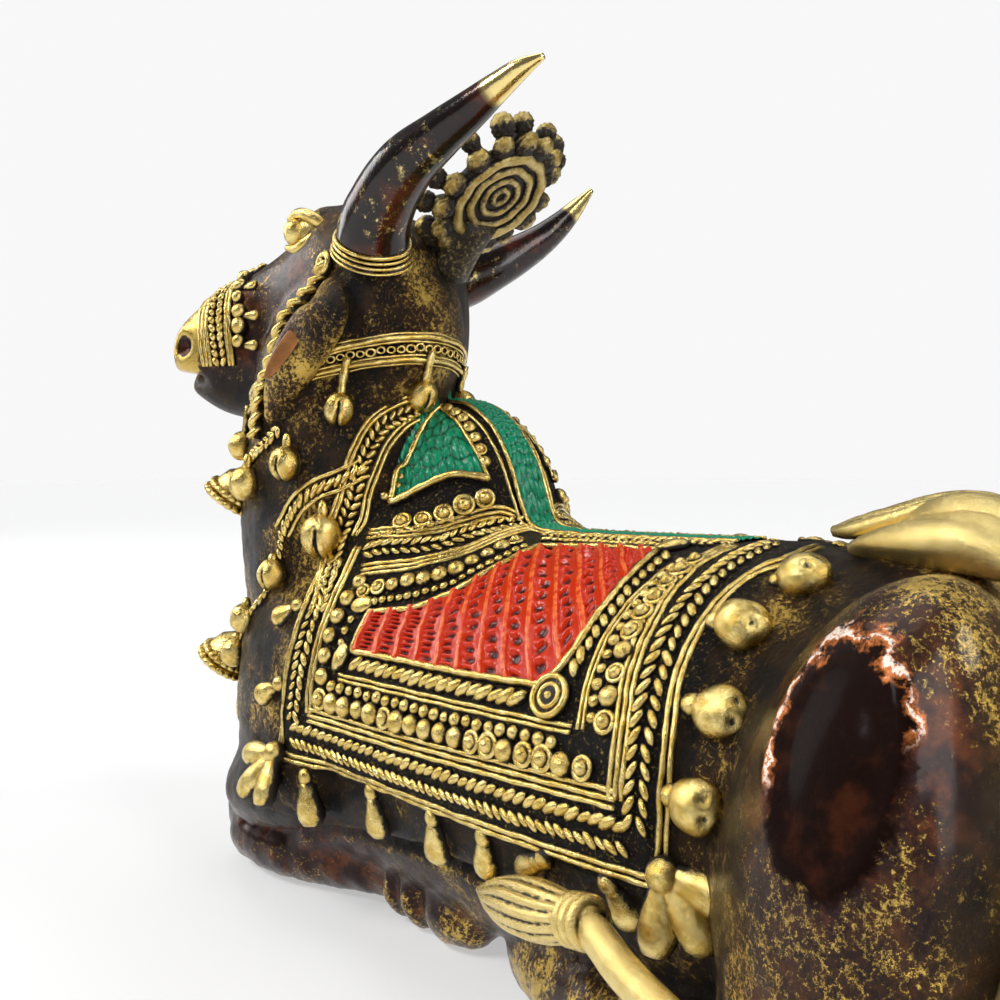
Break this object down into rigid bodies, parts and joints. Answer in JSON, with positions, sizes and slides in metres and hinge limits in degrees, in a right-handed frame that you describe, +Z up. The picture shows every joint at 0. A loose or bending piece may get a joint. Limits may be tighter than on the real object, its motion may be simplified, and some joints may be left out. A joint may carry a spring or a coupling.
{
  "type": "nandi bull figure",
  "caption": "Recumbent nandi bull cast in brass, with swept horns, a crest disc, bells, folded legs and an ornamented saddle cloth inlaid with red and green enamel.",
  "frame": {"origin": "on the surface that the bull lies on, under the middle of the casting", "axes": "+Z up; the bull faces -Y, its left side is +X; +Y along its length towards the tail"},
  "size_m": [0.1052, 0.1838, 0.1437],
  "materials": {
    "patinated_brass": "dark lacquered patina with worn gold",
    "polished_brass": "polished relief, dark in its recesses",
    "red_enamel": "glossy enamel",
    "green_enamel": "glossy enamel"
  },
  "bodies": {
    "root": {"nandi_bull": "patinated_brass"}
  },
  "joints": []
}
